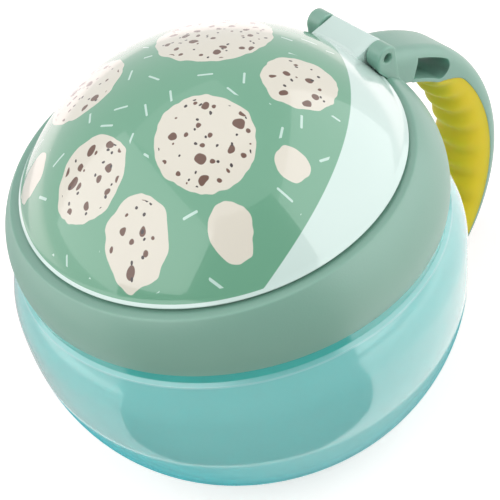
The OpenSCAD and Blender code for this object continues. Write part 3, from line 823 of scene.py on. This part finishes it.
def buildLidPrint(tree, coords):
    # flat pattern in the lid's own plane: biscuits with chips on a green ground, short sprinkles between them
    p, dome = lidPrint, domeShell["radius"]

    def add(kind, *inputs, output=0, **settings):
        # a node with its inputs in their order
        return addNode(tree, kind, dict(enumerate(inputs)), **settings).outputs[output]

    def outside(place, x, y, radius):
        # distance outside a circle
        away = add("VectorMath", place, (x, y, 0.0), output="Value", operation="DISTANCE")
        return add("Math", away, radius, operation="SUBTRACT")

    def cells(place, perMm, randomness):
        # 2D cells, each with a centre and a colour of its own: the chance in its red and its green
        cell = addNode(tree, "TexVoronoi", {"Vector": place, "Scale": perMm, "Randomness": randomness},
                       voronoi_dimensions="2D").outputs
        return cell, addNode(tree, "SeparateColor", {0: cell["Color"]}).outputs

    def mask(*steps):
        # product of smooth steps, each 0 at its first distance and 1 at its second
        product = None
        for value, zero, one in steps:
            share = add("MapRange", value, zero, one, interpolation_type="SMOOTHSTEP")
            product = share if product is None else add("Math", product, share, operation="MULTIPLY")
        return product

    t = math.radians(rimPlane["tiltDegrees"])
    back = Matrix.Rotation(-t, 3, "X") @ (Vector(rimPlane["centre"]) * -mm)
    plane = addNode(tree, "Mapping", {"Vector": coords, "Location": back, "Rotation": (-t, 0, 0)})
    flat = add("VectorMath", plane, (1000.0, 1000.0, 0.0), operation="MULTIPLY")  # now in mm
    # hand cut edges: noise of 3.5 mm shifts each point by up to half of waver
    noise = addNode(tree, "TexNoise", {"Vector": flat, "Scale": 0.28, "Detail": 1.0}).outputs["Color"]
    waver = add("VectorMath", noise, (p["waver"], p["waver"], 0.0), flat, operation="MULTIPLY_ADD")
    waver = add("VectorMath", waver, (p["waver"] / 2, p["waver"] / 2, 0.0), operation="SUBTRACT")

    # distance outside the nearest biscuit; the large ones come first
    nearest = large = outside(waver, *p["biscuits"][0])
    for x, y, radius in p["biscuits"][1:]:
        nearest = add("Math", nearest, outside(waver, x, y, radius), operation="MINIMUM")
        large = nearest if radius > p["largeFrom"] else large

    # chips: one in each 3.4 mm cell, of uneven size, only inside a large biscuit; crumbs are small and darker,
    # in a share of the 1.9 mm cells, because the others are pushed out of reach
    cell, chance = cells(waver, 0.295, 0.8)
    size = add("Math", chance[0], p["chipSize"][1], p["chipSize"][0], operation="MULTIPLY_ADD")
    chipEdge = add("Math", cell["Distance"], size, operation="SUBTRACT")
    cell, chance = cells(waver, 0.52, 1.0)
    crumbEdge = add("Math", cell["Distance"], add("Math", chance[1], p["crumbShare"], operation="GREATER_THAN"),
                    operation="ADD")

    # sprinkles: one dash in each 6.6 mm cell, turned by the cell's own chance; distance to the dash's middle line
    cell, chance = cells(flat, 0.152, 0.55)
    offset = add("VectorMath", flat, cell["Position"], operation="SUBTRACT")
    spin = add("Math", chance[0], 2 * math.pi, operation="MULTIPLY")
    turned = addNode(tree, "VectorRotate", {"Vector": offset, "Angle": spin}, rotation_type="Z_AXIS")
    dash = addNode(tree, "SeparateXYZ", {0: turned}).outputs
    past = add("Math", add("Math", dash["X"], operation="ABSOLUTE"), p["sprinkleHalf"], operation="SUBTRACT")
    past = add("Math", past, 0.0, operation="MAXIMUM")
    squares = [add("Math", v, v, operation="MULTIPLY") for v in (past, dash["Y"])]
    dashEdge = add("Math", add("Math", *squares, operation="ADD"), operation="SQRT")

    # the film covers part of the dome's outer skin; the crescent, the strap, the rim and the inside stay plain
    film = add("Math", *[outside(flat, *disc) for disc in p["discs"]], operation="MAXIMUM")
    depth = add("VectorMath", plane, (0.0, 0.0, domeShell["centreZ"] * mm), output="Value", operation="DISTANCE")
    printed = mask((depth, (dome - 0.6) * mm, (dome - 0.5) * mm), (depth, (dome + 0.06) * mm, (dome + 0.05) * mm),
                   (film, 0.06, -0.06))
    ink = hexColour(p["ground"])
    for name, cover in (
            ("sprinkle", mask((dashEdge, 0.26, 0.18), (nearest, 1.4, 1.5), (film, -1.2, -1.3))),
            ("biscuit", mask((nearest, 0.06, -0.06))),
            ("chip", mask((chipEdge, 0.018, -0.018), (large, -0.85, -0.97))),
            ("crumb", mask((crumbEdge, 0.16, 0.13), (large, -0.9, -1.02)))):
        ink = addNode(tree, "Mix", {"Factor": cover, 6: ink, 7: hexColour(p[name])}, data_type="RGBA").outputs[2]
    return addNode(tree, "Mix", {"Factor": printed, 6: hexColour(p["plain"]), 7: ink}, data_type="RGBA").outputs[2]


# polypropylene with a printed film moulded in: flat inks under one clear, even gloss
lidPlastic, tree, shader, coords = newMaterial(
    "Polypropylene, pale mint, glossy, with an in-mould printed film", Roughness=0.22, IOR=1.5,
    Specular_IOR_Level=0.3, Coat_Weight=0.85, Coat_IOR=1.5, Coat_Roughness=0.03)
tree.links.new(buildLidPrint(tree, coords), shader.inputs["Base Color"])
emboss(tree, shader, coords, 110.0, 1.0, strength=0.012, depth=0.001)  # 9 mm, faint unevenness of the skin

lidShell = joinPieces("lidShell", [buildDome(), buildTongue(), buildStrapFoot()])
setMaterial(lidShell, lidPlastic)
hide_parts("lid")
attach(lidShell, "lid")
print("lid is built")


# drawn stainless wire: grey, with fine streaks along its length
pinSteel, tree, shader, coords = newMaterial("Stainless steel wire, drawn", Metallic=1.0, Roughness=0.32)
along = addNode(tree, "Mapping", {"Vector": coords, "Scale": (0.02, 1.0, 1.0)})
mottle(tree, shader, along, 6000.0, 2.0, ("#8f9091", "#b3b4b5"))  # 0.17 mm across
nodes["hinge_pin"].material_slots[0].material = pinSteel


insert = {
    "flange": 41.8, "low": 58.1, "high": 59.7, "skirtOut": 38.2, "skirtIn": 36.9, "skirtLow": 53.5,
    "bead": 0.3, "beadZ": (56.2, 55.7, 55.1, 54.6),
    "middleZ": 58.9, "membrane": 1.2, "step": 35.2, "opening": 29.15, "reliefAt": 33.58, "relief": 0.9,
    "tones": ("#e2d88a", "#e9e09a"),
}
flap = {
    "count": 6, "root": 28.3, "rootEnd": 29.7, "apex": 0.5, "centreHole": 1.65, "pointWidth": 0.65,
    "groove": 0.42, "grooveWidth": 0.5, "border": 0.14, "bendFrom": 28.95, "bendTo": 27.65,
}


def buildInsertRing():
    # for each angle, a closed section: membrane up to the six-sided opening, flange on the neck, skirt with a
    # sealing bead; the opening's side at angle t off a flap's middle lies at a / cos t, and each corner ends in a
    # round relief hole
    n = insert
    local = np.concatenate([np.linspace(0, 28.2, 20), np.linspace(28.46, 30, 9)])
    local = np.radians(np.concatenate([-local[:0:-1], local[:-1]]))
    a = (np.radians(np.arange(flap["count"]) * 60)[:, None] + local).ravel()
    t = np.tile(local, flap["count"])
    off = math.pi / 6 - np.abs(t)
    sine = n["reliefAt"] * np.sin(off)
    hole = n["reliefAt"] * np.cos(off) + np.sqrt(np.maximum(n["relief"] ** 2 - sine ** 2, 0))
    inner = np.where(sine < n["relief"], hole, n["opening"] / np.cos(t))
    low, high = n["middleZ"] - n["membrane"] / 2, n["middleZ"] + n["membrane"] / 2
    out, b, z = n["skirtOut"], n["bead"], n["beadZ"]
    corners = [
        (inner, low), (inner, high), (n["step"], high), (n["step"] + 0.3, n["high"]), (n["flange"], n["high"]),
        (n["flange"], n["low"]), (out, n["low"]), (out, z[0]), (out + b, z[1]), (out + b, z[2]), (out, z[3]),
        (out, n["skirtLow"]), (n["skirtIn"], n["skirtLow"]), (n["skirtIn"], low)]
    radii = [0.25, 0.25, 0.15, 0.15, 0.4, 0.3, 0.3, 0.25, 0.25, 0.25, 0.25, 0.4, 0.4, 0.6]
    section = np.stack([np.stack([np.broadcast_to(r, a.shape), np.full_like(a, z)], -1) for r, z in corners], 1)
    section = roundCorners(section, radii, 4)
    ring = around(section[..., 0], a[:, None], section[..., 1])
    return newPiece("insertRing", np.concatenate([ring, ring[:1]]))


def buildFlap(index):
    # rows from the root to the point, each a closed ring across the flap: half its width is (u - apex) tan 30,
    # its edges are rounded, a low border follows the cuts, and a groove on both faces makes the living hinge
    f, half, tan30 = flap, insert["membrane"] / 2, math.tan(math.pi / 6)
    inset = np.array([0.0, 0.03, 0.12, 0.28, 0.5, 0.85, 1.1, 1.5, 1.8])
    height = half * np.array([0.0, 0.42, 0.75, 0.94, 1.0, 1.0, 1.0, 1.0, 1.0])
    border = f["border"] * np.array([0, 0, 0, 0, 0.2, 1.0, 1.0, 0.25, 0])
    middle = np.linspace(-1, 1, 9)[1:-1]
    grade = np.concatenate([np.linspace(0, 0.1, 14), np.linspace(0.12, 0.975, 22), [0.985, 0.992, 0.997, 1.0]])
    close = np.concatenate([np.ones(36), [0.92, 0.72, 0.4, 0.05]])
    rows = []
    for q, shut in zip(grade, close):
        # at a share t of the half width, the point ends on the circle of the centre hole
        wide = (f["rootEnd"] - f["apex"]) * tan30 * (1 - q) + f["pointWidth"] * q
        scale = min(1.0, wide / 2.4)
        edge = 1 - inset * scale / (wide * math.cos(math.pi / 6))
        t = np.concatenate([-edge, middle * edge[-1], edge[::-1]])
        z = np.concatenate([height + border, np.full(len(middle), half), (height + border)[::-1]]) * shut
        t, z = np.concatenate([t, t[-2:0:-1]]), np.concatenate([z, -z[-2:0:-1]])
        k = tan30 ** 2 * t ** 2
        end = k + np.sqrt(k ** 2 - 4 * (1 + k) * (f["apex"] ** 2 * k - f["centreHole"] ** 2))
        u = f["rootEnd"] + (end / (2 * (1 + k)) - f["rootEnd"]) * q
        thin = 1 - f["groove"] * np.exp(-((u - f["root"]) / f["grooveWidth"]) ** 2)
        thin -= 0.04 * smoothStep((u - 28.9) / 0.4)
        rows.append(np.stack([u, (u - f["apex"]) * tan30 * t, insert["middleZ"] + z * thin], -1))
    a = math.radians(60 * index)
    turn = np.array([[math.cos(a), -math.sin(a), 0], [math.sin(a), math.cos(a), 0], [0, 0, 1]])
    return newPiece("flapSoft%d" % (index + 1), np.array(rows) @ turn.T, capped=True)


# silicone rubber, compression moulded: soft and matt, light sinks a little way in
flapRubber, tree, shader, coords = newMaterial(
    "Silicone rubber, pale yellow, compression moulded", Roughness=0.46, IOR=1.41, Subsurface_Weight=0.25,
    Subsurface_Scale=0.002, Subsurface_Radius=(1.0, 0.9, 0.5), Sheen_Weight=0.06)
mottle(tree, shader, coords, 70.0, 2.0, insert["tones"])  # 14 mm
emboss(tree, shader, coords, 2200.0, 2.0, strength=0.05, depth=0.0003)  # 0.45 mm skin

insertRing = buildInsertRing()
setMaterial(insertRing, flapRubber)
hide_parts("flap_ring")
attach(insertRing, "insert")
for index in range(flap["count"]):
    piece = buildFlap(index)
    setMaterial(piece, flapRubber)
    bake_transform(piece)
    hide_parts("flap_%d" % (index + 1))
print("insert and flaps are built")
